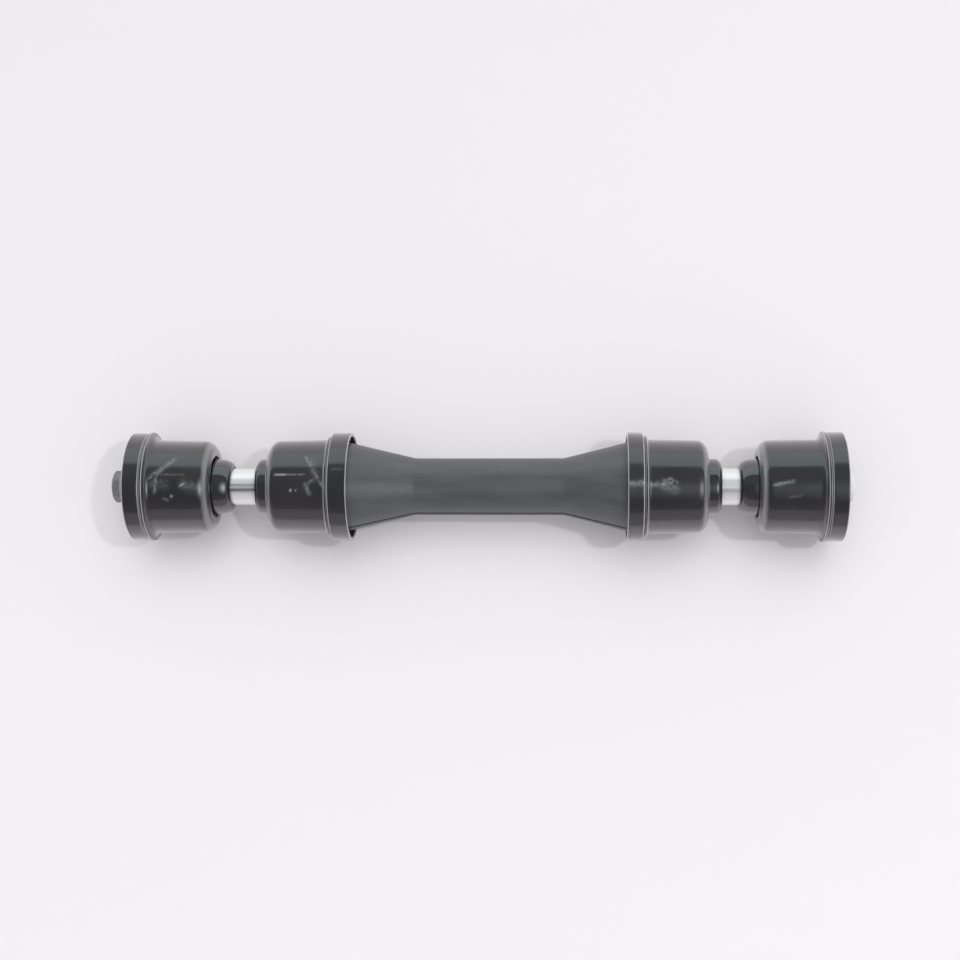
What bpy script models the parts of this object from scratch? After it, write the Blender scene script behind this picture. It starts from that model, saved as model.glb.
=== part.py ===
"""Stabilizer link: a long bolt through four rubber bushings in steel cans, with a spacer sleeve.

Everything is round about the X axis, which is the bolt's axis. The bolt's head is at -X, the
nut at +X. Each station is a place along X, counted from the rim of the left outer cup, and the
whole is then moved so that its middle lies at the world's origin.
"""

import math

import bmesh
import bpy
from mathutils import Matrix

# Fits
SEAT_GAP = 0.0003            # between two pieces that rest on each other
RUNNING_GAP = 0.0003         # round a shaft that turns or slides in a bore
MOULD_GAP = 0.0003           # between the rubber and the can round it

# Bolt
SHANK_RADIUS = 0.0050
HEAD_ACROSS_FLATS = 0.0140
HEAD_HEX_HEIGHT = 0.0040
HEAD_COLLAR_HEIGHT = 0.0024
HEAD_COLLAR_MARGIN = 0.00012  # how far the round collar stands past the six corners
HEAD_ROLL = math.radians(4.0)
HEX_CHAMFER = math.radians(30.0)
SHANK_TIP_CHAMFER = 0.0008
SHANK_PAST_NUT = 0.0010

# Lock nut and its plastic ring
NUT_ACROSS_FLATS = 0.0160
NUT_HEX_HEIGHT = 0.0054
NUT_INSERT_WALL = 0.0012
NUT_INSERT_THICKNESS = 0.0014
NUT_COLLAR_WALL = 0.0006
NUT_LIP_THICKNESS = 0.0006
NUT_LIP_OVERLAP = 0.0005     # how far the lip covers the plastic ring
NUT_ROLL = math.radians(11.0)

# Washers under the head and the nut
WASHER_RADIUS = 0.0150
WASHER_THICKNESS = 0.0025

# Inner tube
TUBE_WALL = 0.00385
TUBE_PROUD = 0.0009          # how far it stands out of the left outer cup

# Rubber cores
NOSE_WALL = 0.00445
NOSE_ROUNDING = 0.0034       # measured outwards from the tip's flat ring
OUTER_NOSE_LENGTH = 0.0090
OUTER_NOSE_SLOPE = 0.0070    # length of the outer nose's rounding, along the axis
INNER_NOSE_LENGTH = 0.0069
INNER_NOSE_SLOPE = 0.0034

# Bushing cans, from the mouth round the nose outwards to the flange
OUTER_SHELL_LENGTH = 0.0328
INNER_SHELL_LENGTH = 0.0312
SHELL_WALL = 0.0015
MOUTH_GAP = 0.0015           # open groove between the nose and the mouth
FRONT_LAND = 0.0019          # flat ring between the mouth and the rounded corner
BARREL_CORNER = 0.0055
BARREL_TAPER = 0.0006
OUTER_FLANGE_WIDTH = 0.0039
OUTER_FLANGE_FILLET = 0.0030
INNER_FLANGE_WIDTH = 0.0018
INNER_FLANGE_FILLET = 0.0012

# Retainer cups
CUP_INSET = 0.0003           # how far the flange stands out past the cup
CUP_DEPTH = 0.0082
LEFT_INNER_CUP_DEPTH = 0.0096
CUP_WALL = 0.0018
CUP_FLOOR = 0.0020
CUP_OUTER_CORNER = 0.0012
CUP_INNER_CORNER = 0.0008

# Spacer sleeve and the washers at its ends
SLEEVE_LENGTH = 0.1448
SLEEVE_WALL = 0.0047
SLEEVE_WASHER_PLAY = 0.0008  # between the washer's edge and the cup's wall
SLEEVE_WASHER_THICKNESS = 0.0020
FLARE_INSET = 0.0016         # how far the washer's edge stands out past the flare
FLARE_LENGTH = 0.0366
FLARE_WALL = 0.0030
SEAM_GAP = 0.0003
SEAM_ROLL = math.radians(-20.5)

# Gaps between the noses, where the two arms go
LEFT_EYE_GAP = 0.0119
RIGHT_EYE_GAP = 0.0084

# Roundness of the model
SIDES = 32
CORNER_STEPS = 3
SMOOTH_ANGLE = math.radians(35.0)
MERGE_DISTANCE = 0.00001
CUTTER_MARGIN = 0.0050
HEX_SINK = 0.0008            # how far the hexagon reaches into the collar it is joined to
NUT_BLANK_MARGIN = 0.0004    # how far the nut's turned blank stands past its six corners

# Bolt and nut sizes that follow from others
BOLT_HOLE_RADIUS = SHANK_RADIUS + RUNNING_GAP
HEAD_HEIGHT = HEAD_COLLAR_HEIGHT + HEAD_HEX_HEIGHT
HEAD_COLLAR_RADIUS = HEAD_ACROSS_FLATS / math.sqrt(3) + HEAD_COLLAR_MARGIN
NUT_INSERT_RADIUS = BOLT_HOLE_RADIUS + NUT_INSERT_WALL
NUT_RECESS_RADIUS = NUT_INSERT_RADIUS + SEAT_GAP
NUT_RECESS_DEPTH = NUT_INSERT_THICKNESS + 2 * SEAT_GAP + NUT_LIP_THICKNESS
NUT_COLLAR_RADIUS = NUT_RECESS_RADIUS + NUT_COLLAR_WALL
NUT_LIP_RADIUS = NUT_INSERT_RADIUS - NUT_LIP_OVERLAP
NUT_HEIGHT = NUT_HEX_HEIGHT + NUT_RECESS_DEPTH

# Radii that follow, from the tube outwards to the cup
TUBE_RADIUS = BOLT_HOLE_RADIUS + TUBE_WALL
BORE_RADIUS = TUBE_RADIUS + RUNNING_GAP
NOSE_RADIUS = BORE_RADIUS + NOSE_WALL
MOUTH_RADIUS = NOSE_RADIUS + MOUTH_GAP
BARREL_FRONT_RADIUS = MOUTH_RADIUS + FRONT_LAND + BARREL_CORNER
BARREL_BACK_RADIUS = BARREL_FRONT_RADIUS + BARREL_TAPER
OUTER_FLANGE_RADIUS = BARREL_BACK_RADIUS + OUTER_FLANGE_WIDTH
INNER_FLANGE_RADIUS = BARREL_BACK_RADIUS + INNER_FLANGE_WIDTH
CUP_RADIUS = OUTER_FLANGE_RADIUS - CUP_INSET
SLEEVE_RADIUS = BORE_RADIUS + SLEEVE_WALL
SLEEVE_WASHER_RADIUS = CUP_RADIUS - CUP_WALL - SLEEVE_WASHER_PLAY
FLARE_RADIUS = SLEEVE_WASHER_RADIUS - FLARE_INSET

# Stations of the left outer bushing and its cup, from the cup's rim inwards
LEFT_OUTER_CUP = 0.0
LEFT_OUTER_SHELL = LEFT_OUTER_CUP + CUP_DEPTH + SEAT_GAP
LEFT_OUTER_TIP = LEFT_OUTER_SHELL + OUTER_SHELL_LENGTH + OUTER_NOSE_LENGTH

# Left inner bushing, which faces the other way
LEFT_INNER_TIP = LEFT_OUTER_TIP + LEFT_EYE_GAP
LEFT_INNER_SHELL = LEFT_INNER_TIP + INNER_NOSE_LENGTH + INNER_SHELL_LENGTH
LEFT_INNER_CUP = LEFT_INNER_SHELL + SEAT_GAP + LEFT_INNER_CUP_DEPTH

# Sleeve between its two washers
LEFT_SLEEVE_WASHER = LEFT_INNER_SHELL + SEAT_GAP + CUP_FLOOR + SEAT_GAP
SLEEVE_START = LEFT_SLEEVE_WASHER + SLEEVE_WASHER_THICKNESS + SEAT_GAP
SLEEVE_MIDDLE = SLEEVE_START + SLEEVE_LENGTH / 2
RIGHT_SLEEVE_WASHER = SLEEVE_START + SLEEVE_LENGTH + SEAT_GAP

# Right inner bushing
RIGHT_INNER_CUP = RIGHT_SLEEVE_WASHER + SLEEVE_WASHER_THICKNESS + SEAT_GAP + CUP_FLOOR - CUP_DEPTH
RIGHT_INNER_SHELL = RIGHT_INNER_CUP + CUP_DEPTH + SEAT_GAP
RIGHT_INNER_TIP = RIGHT_INNER_SHELL + INNER_SHELL_LENGTH + INNER_NOSE_LENGTH

# Right outer bushing
RIGHT_OUTER_TIP = RIGHT_INNER_TIP + RIGHT_EYE_GAP
RIGHT_OUTER_SHELL = RIGHT_OUTER_TIP + OUTER_NOSE_LENGTH + OUTER_SHELL_LENGTH
RIGHT_OUTER_CUP = RIGHT_OUTER_SHELL + SEAT_GAP + CUP_DEPTH

# Tube, washers, nut and bolt: the tube ends flush with the inside of the right cup's floor
TUBE_END = RIGHT_OUTER_CUP - CUP_DEPTH + CUP_FLOOR
TUBE_START = LEFT_OUTER_CUP - TUBE_PROUD
TUBE_LENGTH = TUBE_END - TUBE_START
NUT_WASHER = TUBE_END + SEAT_GAP
NUT_SEAT = NUT_WASHER + WASHER_THICKNESS + SEAT_GAP
BOLT_END = NUT_SEAT + NUT_HEIGHT + SHANK_PAST_NUT
HEAD_WASHER = TUBE_START - SEAT_GAP - WASHER_THICKNESS
HEAD_SEAT = HEAD_WASHER - SEAT_GAP

# The world's origin is the middle of the whole
MIDDLE = (BOLT_END + HEAD_SEAT - HEAD_HEIGHT) / 2

# A flat of each many-sided round piece faces down, and its flats lie at the true radius
HALF_SIDE = math.pi / SIDES
FLAT_FACTOR = 1 / math.cos(HALF_SIDE)

for old_object in list(bpy.data.objects):
    bpy.data.objects.remove(old_object, do_unlink=True)

parts = bpy.data.collections.new("stabilizer_link")
cutters = bpy.data.collections.new("cutters")
bpy.context.scene.collection.children.link(parts)
bpy.context.scene.collection.children.link(cutters)


def make_material(name, colour, roughness, metallic):
    """A plain Principled material."""
    material = bpy.data.materials.new(name)
    material.use_nodes = True
    shader = material.node_tree.nodes["Principled BSDF"]
    shader.inputs["Base Color"].default_value = (*colour, 1.0)
    shader.inputs["Roughness"].default_value = roughness
    shader.inputs["Metallic"].default_value = metallic
    return material


BRIGHT_ZINC = make_material("bright_zinc_plate", (0.80, 0.80, 0.81), 0.16, 1.0)
BLACK_PAINT = make_material("black_gloss_paint", (0.012, 0.012, 0.014), 0.22, 0.0)
RUBBER = make_material("black_rubber", (0.012, 0.012, 0.012), 0.35, 0.0)
SLEEVE_PLASTIC = make_material("grey_sleeve_plastic", (0.105, 0.108, 0.107), 0.48, 0.0)
GREY_STEEL = make_material("grey_fastener_steel", (0.42, 0.41, 0.42), 0.38, 1.0)
NYLON = make_material("white_nylon", (0.78, 0.76, 0.70), 0.40, 0.0)


def arc(centre, radius, start, end, half_length=None, steps=CORNER_STEPS):
    """Points of a round corner, from the angle start to the angle end in degrees.

    The half length is the corner's radius along the axis, where it differs from the other.
    """
    along = radius if half_length is None else half_length
    points = []
    for i in range(steps + 1):
        angle = math.radians(start + (end - start) * i / steps)
        points.append((centre[0] + along * math.cos(angle), centre[1] + radius * math.sin(angle)))
    return points


def link_object(name, mesh, material, collection):
    """Put a mesh into the scene as an object in the collection."""
    obj = bpy.data.objects.new(name, mesh)
    collection.objects.link(obj)
    if material is not None:
        mesh.materials.append(material)
    if collection is cutters:
        obj.hide_render = True
        obj.display_type = "WIRE"
    return obj


def turned(name, profile, station, material=None, backwards=False, collection=parts, closed=True):
    """Turn a profile of (place along the axis, radius) points about X, with a Screw modifier.

    The profile runs along its outer side from +X to -X. An open profile starts and ends on the
    axis. A piece that faces -X is turned round by half a turn about Z.
    """
    mesh = bpy.data.meshes.new(name)
    points = []
    for along, radius in profile:
        flat_radius = radius * FLAT_FACTOR
        points.append((along, flat_radius * math.cos(HALF_SIDE), flat_radius * math.sin(HALF_SIDE)))
    edges = [(i, i + 1) for i in range(len(points) - 1)]
    if closed:
        edges.append((len(points) - 1, 0))
    mesh.from_pydata(points, edges, [])
    obj = link_object(name, mesh, material, collection)
    screw = obj.modifiers.new("turn", "SCREW")
    screw.axis = "X"
    screw.angle = math.tau
    screw.steps = SIDES
    screw.render_steps = SIDES
    screw.use_merge_vertices = True
    screw.merge_threshold = MERGE_DISTANCE
    obj.location.x = station - MIDDLE
    if backwards:
        obj.rotation_euler.z = math.pi
    return obj


def hexagon(name, across_flats, start, end, roll, station):
    """A six-sided bar along X between two places, one flat facing up before it is rolled."""
    mesh = bpy.data.meshes.new(name)
    bm = bmesh.new()
    corner_radius = across_flats / math.sqrt(3)
    along_x = Matrix.Rotation(math.pi / 2, 4, "Y")
    rolled = Matrix.Rotation(roll, 4, "X")
    middle = Matrix.Translation(((start + end) / 2, 0, 0))
    bmesh.ops.create_cone(bm, cap_ends=True, segments=6, radius1=corner_radius, radius2=corner_radius,
                          depth=end - start, matrix=middle @ rolled @ along_x)
    bm.to_mesh(mesh)
    bm.free()
    obj = link_object(name, mesh, None, cutters)
    obj.location.x = station - MIDDLE
    return obj


def add_boolean(obj, other, operation):
    """Cut, join or keep what two objects share."""
    boolean = obj.modifiers.new(operation.lower(), "BOOLEAN")
    boolean.operation = operation
    boolean.solver = "EXACT"
    boolean.object = other
    return boolean


def washer(name, radius, thickness, hole_radius, station):
    """A flat ring with its lower X face at the station."""
    profile = [(thickness, radius), (0, radius), (0, hole_radius), (thickness, hole_radius)]
    return turned(name, profile, station, GREY_STEEL)


def make_bolt():
    """Shank and collar turned in one, with the chamfered hexagon joined to the collar."""
    shank = BOLT_END - HEAD_SEAT
    profile = [
        (shank, 0),
        (shank, SHANK_RADIUS - SHANK_TIP_CHAMFER),
        (shank - SHANK_TIP_CHAMFER, SHANK_RADIUS),
        (0, SHANK_RADIUS),
        (0, HEAD_COLLAR_RADIUS),
        (-HEAD_COLLAR_HEIGHT, HEAD_COLLAR_RADIUS),
        (-HEAD_COLLAR_HEIGHT, 0),
    ]
    bolt = turned("hex_bolt", profile, HEAD_SEAT, GREY_STEEL, closed=False)
    hexagon_start = -HEAD_COLLAR_HEIGHT + HEX_SINK
    head = hexagon("bolt_hexagon", HEAD_ACROSS_FLATS, -HEAD_HEIGHT, hexagon_start, HEAD_ROLL, HEAD_SEAT)
    flat_radius = HEAD_ACROSS_FLATS / 2
    chamfer_slope = math.tan(HEX_CHAMFER)
    blank_radius = flat_radius + CUTTER_MARGIN
    blank_profile = [
        (CUTTER_MARGIN, 0),
        (CUTTER_MARGIN, blank_radius),
        (-HEAD_HEIGHT + CUTTER_MARGIN * chamfer_slope, blank_radius),
        (-HEAD_HEIGHT - CUTTER_MARGIN * chamfer_slope, flat_radius - CUTTER_MARGIN),
        (-HEAD_HEIGHT - CUTTER_MARGIN * chamfer_slope, 0),
    ]
    blank = turned("bolt_chamfer", blank_profile, HEAD_SEAT, collection=cutters, closed=False)
    add_boolean(head, blank, "INTERSECT")
    add_boolean(bolt, head, "UNION")


def make_lock_nut():
    """A turned blank with its bore, collar and recess, cut to a hexagon, and the plastic ring."""
    corner_radius = NUT_ACROSS_FLATS / math.sqrt(3) + NUT_BLANK_MARGIN
    flat_radius = NUT_ACROSS_FLATS / 2
    chamfer_length = (corner_radius - flat_radius) * math.tan(HEX_CHAMFER)
    lip_start = NUT_HEIGHT - NUT_LIP_THICKNESS
    profile = [
        (NUT_HEIGHT, NUT_LIP_RADIUS),
        (NUT_HEIGHT, NUT_COLLAR_RADIUS),
        (NUT_HEX_HEIGHT, NUT_COLLAR_RADIUS),
        (NUT_HEX_HEIGHT, flat_radius),
        (NUT_HEX_HEIGHT - chamfer_length, corner_radius),
        (chamfer_length, corner_radius),
        (0, flat_radius),
        (0, BOLT_HOLE_RADIUS),
        (NUT_HEX_HEIGHT, BOLT_HOLE_RADIUS),
        (NUT_HEX_HEIGHT, NUT_RECESS_RADIUS),
        (lip_start, NUT_RECESS_RADIUS),
        (lip_start, NUT_LIP_RADIUS),
    ]
    nut = turned("lock_nut", profile, NUT_SEAT, GREY_STEEL)
    six_sides = hexagon("nut_hexagon", NUT_ACROSS_FLATS, -CUTTER_MARGIN, NUT_HEIGHT + CUTTER_MARGIN,
                        NUT_ROLL, NUT_SEAT)
    add_boolean(nut, six_sides, "INTERSECT")

    insert_start = NUT_HEX_HEIGHT + SEAT_GAP
    insert_end = insert_start + NUT_INSERT_THICKNESS
    insert_profile = [
        (insert_end, NUT_INSERT_RADIUS),
        (insert_start, NUT_INSERT_RADIUS),
        (insert_start, BOLT_HOLE_RADIUS),
        (insert_end, BOLT_HOLE_RADIUS),
    ]
    turned("nut_insert", insert_profile, NUT_SEAT, NYLON)


def make_tube():
    """The bright tube that the bolt runs through and the bushings sit on."""
    profile = [
        (TUBE_LENGTH, TUBE_RADIUS),
        (0, TUBE_RADIUS),
        (0, BOLT_HOLE_RADIUS),
        (TUBE_LENGTH, BOLT_HOLE_RADIUS),
    ]
    turned("inner_tube", profile, TUBE_START, BRIGHT_ZINC)


def make_cup(name, rim_station, depth, backwards):
    """A pressed retainer cup: its rim at the station, its floor further along."""
    inner_radius = CUP_RADIUS - CUP_WALL
    floor_inside = depth - CUP_FLOOR
    outer_corner = (depth - CUP_OUTER_CORNER, CUP_RADIUS - CUP_OUTER_CORNER)
    inner_corner = (floor_inside - CUP_INNER_CORNER, inner_radius - CUP_INNER_CORNER)
    profile = [(depth, BORE_RADIUS)]
    profile += arc(outer_corner, CUP_OUTER_CORNER, 0, 90)
    profile += [(0, CUP_RADIUS), (0, inner_radius)]
    profile += arc(inner_corner, CUP_INNER_CORNER, 90, 0)
    profile += [(floor_inside, BORE_RADIUS)]
    turned(name, profile, rim_station, BLACK_PAINT, backwards)


def make_shell(name, flange_station, length, flange_radius, flange_fillet, backwards):
    """A drawn can: a thin flange at the station, a barrel, and a wide mouth for the nose."""
    corner = (length - BARREL_CORNER, BARREL_FRONT_RADIUS - BARREL_CORNER)
    fillet = (SHELL_WALL + flange_fillet, BARREL_BACK_RADIUS + flange_fillet)
    profile = [(length, MOUTH_RADIUS)]
    profile += arc(corner, BARREL_CORNER, 0, 90)
    profile += arc(fillet, flange_fillet, 270, 180)
    profile += [(SHELL_WALL, flange_radius), (0, flange_radius), (0, BARREL_BACK_RADIUS - SHELL_WALL)]
    profile += arc(corner, BARREL_CORNER - SHELL_WALL, 90, 0)
    profile += [(length - SHELL_WALL, MOUTH_RADIUS)]
    turned(name, profile, flange_station, BLACK_PAINT, backwards)


def make_core(name, flange_station, shell_length, nose_length, nose_slope, backwards):
    """The rubber that fills a can and stands out of its mouth as a round nose."""
    tip = shell_length + nose_length
    inset = SHELL_WALL + MOULD_GAP
    corner = (shell_length - BARREL_CORNER, BARREL_FRONT_RADIUS - BARREL_CORNER)
    nose_corner = (tip - nose_slope, NOSE_RADIUS - NOSE_ROUNDING)
    profile = [(tip, BORE_RADIUS)]
    profile += arc(nose_corner, NOSE_ROUNDING, 0, 90, nose_slope)
    profile += [(shell_length - inset, NOSE_RADIUS)]
    profile += arc(corner, BARREL_CORNER - inset, 0, 90)
    profile += [(0, BARREL_BACK_RADIUS - inset), (0, BORE_RADIUS)]
    turned(name, profile, flange_station, RUBBER, backwards)


def make_sleeve():
    """The flared spacer sleeve, cut lengthwise into two half shells along a rolled plane."""
    half = SLEEVE_LENGTH / 2
    straight = half - FLARE_LENGTH
    slope = (FLARE_RADIUS - SLEEVE_RADIUS) / FLARE_LENGTH
    hollow_radius = FLARE_RADIUS - FLARE_WALL
    hollow_end = half - (hollow_radius - BORE_RADIUS) / slope
    profile = [
        (half, FLARE_RADIUS),
        (straight, SLEEVE_RADIUS),
        (-straight, SLEEVE_RADIUS),
        (-half, FLARE_RADIUS),
        (-half, hollow_radius),
        (-hollow_end, BORE_RADIUS),
        (hollow_end, BORE_RADIUS),
        (half, hollow_radius),
    ]
    depth = FLARE_RADIUS + CUTTER_MARGIN
    length = SLEEVE_LENGTH + 2 * CUTTER_MARGIN
    for name, side in (("sleeve_upper_half", 1), ("sleeve_lower_half", -1)):
        half_shell = turned(name, profile, SLEEVE_MIDDLE, SLEEVE_PLASTIC)
        mesh = bpy.data.meshes.new(name + "_cut")
        bm = bmesh.new()
        bmesh.ops.create_cube(bm, size=1.0)
        bmesh.ops.scale(bm, vec=(length, 2 * depth, depth), verts=bm.verts)
        bmesh.ops.translate(bm, vec=(0, 0, side * (SEAM_GAP - depth) / 2), verts=bm.verts)
        bm.to_mesh(mesh)
        bm.free()
        cutter = link_object(name + "_cut", mesh, None, cutters)
        cutter.location.x = SLEEVE_MIDDLE - MIDDLE
        cutter.rotation_euler.x = SEAM_ROLL
        add_boolean(half_shell, cutter, "DIFFERENCE")


def shade_parts():
    """Replace each part's modifiers by their result and shade its round faces smooth."""
    depsgraph = bpy.context.evaluated_depsgraph_get()
    for obj in parts.objects:
        mesh = bpy.data.meshes.new_from_object(obj.evaluated_get(depsgraph))
        mesh.shade_smooth()
        mesh.set_sharp_from_angle(angle=SMOOTH_ANGLE)
        obj.modifiers.clear()
        obj.data = mesh


make_bolt()
washer("head_washer", WASHER_RADIUS, WASHER_THICKNESS, BOLT_HOLE_RADIUS, HEAD_WASHER)
make_tube()
washer("nut_washer", WASHER_RADIUS, WASHER_THICKNESS, BOLT_HOLE_RADIUS, NUT_WASHER)
make_lock_nut()

make_sleeve()
for washer_name, washer_station in (("left_sleeve_washer", LEFT_SLEEVE_WASHER),
                                    ("right_sleeve_washer", RIGHT_SLEEVE_WASHER)):
    washer(washer_name, SLEEVE_WASHER_RADIUS, SLEEVE_WASHER_THICKNESS, BORE_RADIUS, washer_station)

for place, cup_rim, cup_depth, flange, is_outer, faces_left in (
        ("left_outer", LEFT_OUTER_CUP, CUP_DEPTH, LEFT_OUTER_SHELL, True, False),
        ("left_inner", LEFT_INNER_CUP, LEFT_INNER_CUP_DEPTH, LEFT_INNER_SHELL, False, True),
        ("right_inner", RIGHT_INNER_CUP, CUP_DEPTH, RIGHT_INNER_SHELL, False, False),
        ("right_outer", RIGHT_OUTER_CUP, CUP_DEPTH, RIGHT_OUTER_SHELL, True, True)):
    make_cup(place + "_cup", cup_rim, cup_depth, faces_left)
    if is_outer:
        make_shell(place + "_shell", flange, OUTER_SHELL_LENGTH, OUTER_FLANGE_RADIUS,
                   OUTER_FLANGE_FILLET, faces_left)
        make_core(place + "_core", flange, OUTER_SHELL_LENGTH, OUTER_NOSE_LENGTH,
                  OUTER_NOSE_SLOPE, faces_left)
    else:
        make_shell(place + "_shell", flange, INNER_SHELL_LENGTH, INNER_FLANGE_RADIUS,
                   INNER_FLANGE_FILLET, faces_left)
        make_core(place + "_core", flange, INNER_SHELL_LENGTH, INNER_NOSE_LENGTH,
                  INNER_NOSE_SLOPE, faces_left)

shade_parts()
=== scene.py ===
# %% [markdown]
# # A stabilizer link, dressed for its picture
# A stabilizer link ties the end of a car's anti-roll bar to the suspension. A long bolt runs
# through a bright inner tube, and four rubber bushings in black steel cans slide on that tube.
# The frame holds the exact solids. This lesson puts a smoother and more finely shaped surface
# round each of them, gives every surface its finish, and lights the whole.

import bpy
import numpy as np
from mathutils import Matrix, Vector


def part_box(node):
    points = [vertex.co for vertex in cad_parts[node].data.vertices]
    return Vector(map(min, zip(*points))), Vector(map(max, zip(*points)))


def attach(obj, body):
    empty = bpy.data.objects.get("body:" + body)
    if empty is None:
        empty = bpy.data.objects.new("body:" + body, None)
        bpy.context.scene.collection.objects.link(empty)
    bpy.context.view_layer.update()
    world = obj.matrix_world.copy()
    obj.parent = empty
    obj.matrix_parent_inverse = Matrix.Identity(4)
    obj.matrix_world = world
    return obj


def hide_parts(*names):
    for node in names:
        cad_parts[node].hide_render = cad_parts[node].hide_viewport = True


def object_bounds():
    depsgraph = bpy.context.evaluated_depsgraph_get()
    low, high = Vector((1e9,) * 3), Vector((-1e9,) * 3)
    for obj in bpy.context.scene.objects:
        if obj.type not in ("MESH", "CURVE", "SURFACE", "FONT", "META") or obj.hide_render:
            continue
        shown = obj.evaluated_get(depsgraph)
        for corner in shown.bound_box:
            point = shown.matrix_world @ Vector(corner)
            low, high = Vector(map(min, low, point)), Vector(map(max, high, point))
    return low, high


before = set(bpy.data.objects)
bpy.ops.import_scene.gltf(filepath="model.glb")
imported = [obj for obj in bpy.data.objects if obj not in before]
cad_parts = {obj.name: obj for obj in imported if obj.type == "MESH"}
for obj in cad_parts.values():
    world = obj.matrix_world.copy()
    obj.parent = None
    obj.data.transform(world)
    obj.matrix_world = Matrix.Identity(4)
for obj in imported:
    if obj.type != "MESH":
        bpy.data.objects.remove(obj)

MM = 0.001
CAD_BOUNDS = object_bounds()
print("nodes in the frame:", len(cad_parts))

# %% [markdown]
# ## Sizes from the frame
# Nothing is measured twice. Each piece takes its ends and its radius from the box of the solid
# that it stands for, so it always sits where the solid sits. The solids have a flat side facing
# down at their true radius, so the lowest point of the box is the radius.

# %% Ends and radius of a solid
def reach(node):
    """Lowest X, highest X and radius of a solid, in millimetres."""
    low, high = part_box(node)
    return low.x / MM, high.x / MM, -low.z / MM


print("tube from %.1f to %.1f, radius %.2f" % reach("inner_tube"))

# %% [markdown]
# ## Outlines with rounded corners
# Almost every piece here was turned, drawn or moulded round the bolt's axis, so it is an outline
# carried round a circle. Real edges are never sharp: a press, a lathe tool or a mould leaves a
# small arc, and that arc is what catches the light. A bevel modifier could round them, but here
# each corner keeps its own radius, so the arcs are worked out with the outline.

# %% Round the corners of an outline
CORNER_STEPS = 8
FINE_SPACING = 0.6           # mm between points on a straight stretch, where scuffs are painted
COARSE_SPACING = 3.0         # everywhere else
# Wider corners get a weaker edge share: less edge wear, and on the black paint a weaker painted
# highlight.
SHARP_ROUNDING = 3.4         # mm; wider corners than this wear less


def rounded(corners, spacing=COARSE_SPACING):
    """A closed outline from corners of (along, radius, rounding), run anticlockwise.

    A side that turns by the angle t at a corner leaves its line rounding * tan(t / 2) before it,
    and goes round a centre that lies at the rounding's distance from both sides. The third
    column is the edge share, kept as edge_wear_and_highlight: 1 in the middle of an outward edge,
    -1 in the middle of a hollow, 0 on a flat, and less on a wide corner. The materials use it for
    edge wear, and the black paint also uses it for a painted highlight.
    """
    corners = np.array(corners, float)
    here = corners[:, :2]
    rounding = corners[:, 2:]
    into = here - np.roll(here, 1, 0)
    into /= np.linalg.norm(into, axis=1, keepdims=True)
    out = np.roll(into, -1, 0)
    turn = np.arctan2(into[:, :1] * out[:, 1:] - into[:, 1:] * out[:, :1],
                      np.sum(into * out, 1, keepdims=True))
    start = here - into * rounding * np.tan(np.abs(turn) / 2)
    inwards = np.column_stack([-into[:, 1], into[:, 0]]) * np.sign(turn)
    centre = start + inwards * rounding
    spoke = start - centre
    share = np.linspace(0, 1, CORNER_STEPS + 1)
    cosine = np.cos(turn * share)
    sine = np.sin(turn * share)
    along = centre[:, :1] + spoke[:, :1] * cosine - spoke[:, 1:] * sine
    radius = centre[:, 1:] + spoke[:, :1] * sine + spoke[:, 1:] * cosine
    most = np.clip(SHARP_ROUNDING / np.maximum(rounding, 0.1), 0, 1) * (rounding > 0)
    edge_wear_and_highlight = np.sign(turn) * np.sin(np.pi * share) * most
    return spaced(np.column_stack([along.ravel(), radius.ravel(), edge_wear_and_highlight.ravel()]), spacing)


def spaced(outline, spacing, loop=True):
    """Add points along the long stretches, and drop those that lie on the one before."""
    if loop:
        outline = np.vstack([outline, outline[:1]])
    steps = np.linalg.norm(np.diff(outline[:, :2], axis=0), axis=1)
    outline = outline[np.concatenate([[True], steps > 1e-4])]
    steps = steps[steps > 1e-4]
    place = np.concatenate([[0], np.cumsum(steps)])
    extra = np.arange(0, place[-1], spacing)
    nearest = np.abs(place[:, None] - extra).min(0)
    places = np.sort(np.concatenate([place, extra[nearest > spacing / 5]]))
    columns = [np.interp(places, place, outline[:, i]) for i in range(outline.shape[1])]
    points = np.column_stack(columns)
    return points[:-1] if loop else points


def placed(outline, base, facing):
    """Put an outline's zero at the base. One that faces -X is mirrored and run the other way."""
    moved = outline.copy()
    moved[:, 0] = base + facing * outline[:, 0]
    return moved if facing > 0 else moved[::-1]


trial = rounded([(2, 5, 0.4), (0, 5, 0.4), (0, 3, 0.4), (2, 3, 0.4)])
print("a small ring's outline has", len(trial), "points")

# %% [markdown]
# ## From a grid of points to a mesh
# A grid has rows along the outline and columns round the axis. Joining each point to its
# neighbours gives four-sided faces, and rolling the index by one closes the ring without a
# seam. The edge share of each point is kept as the attribute edge_wear_and_highlight, so that a
# material can find the edges: for edge wear, and on the black paint also for a painted highlight.

# %% Skin a grid of points
ROUND = 192                  # columns round a full turn
TURN = 2 * np.pi
ANGLES = np.arange(ROUND) * TURN / ROUND
SMOOTH_ANGLE = np.radians(40)


def store(mesh, name, values):
    """Keep one number for each point of a mesh."""
    layer = mesh.attributes.new(name, "FLOAT", "POINT")
    layer.data.foreach_set("value", np.asarray(values, np.float32).ravel())


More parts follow.
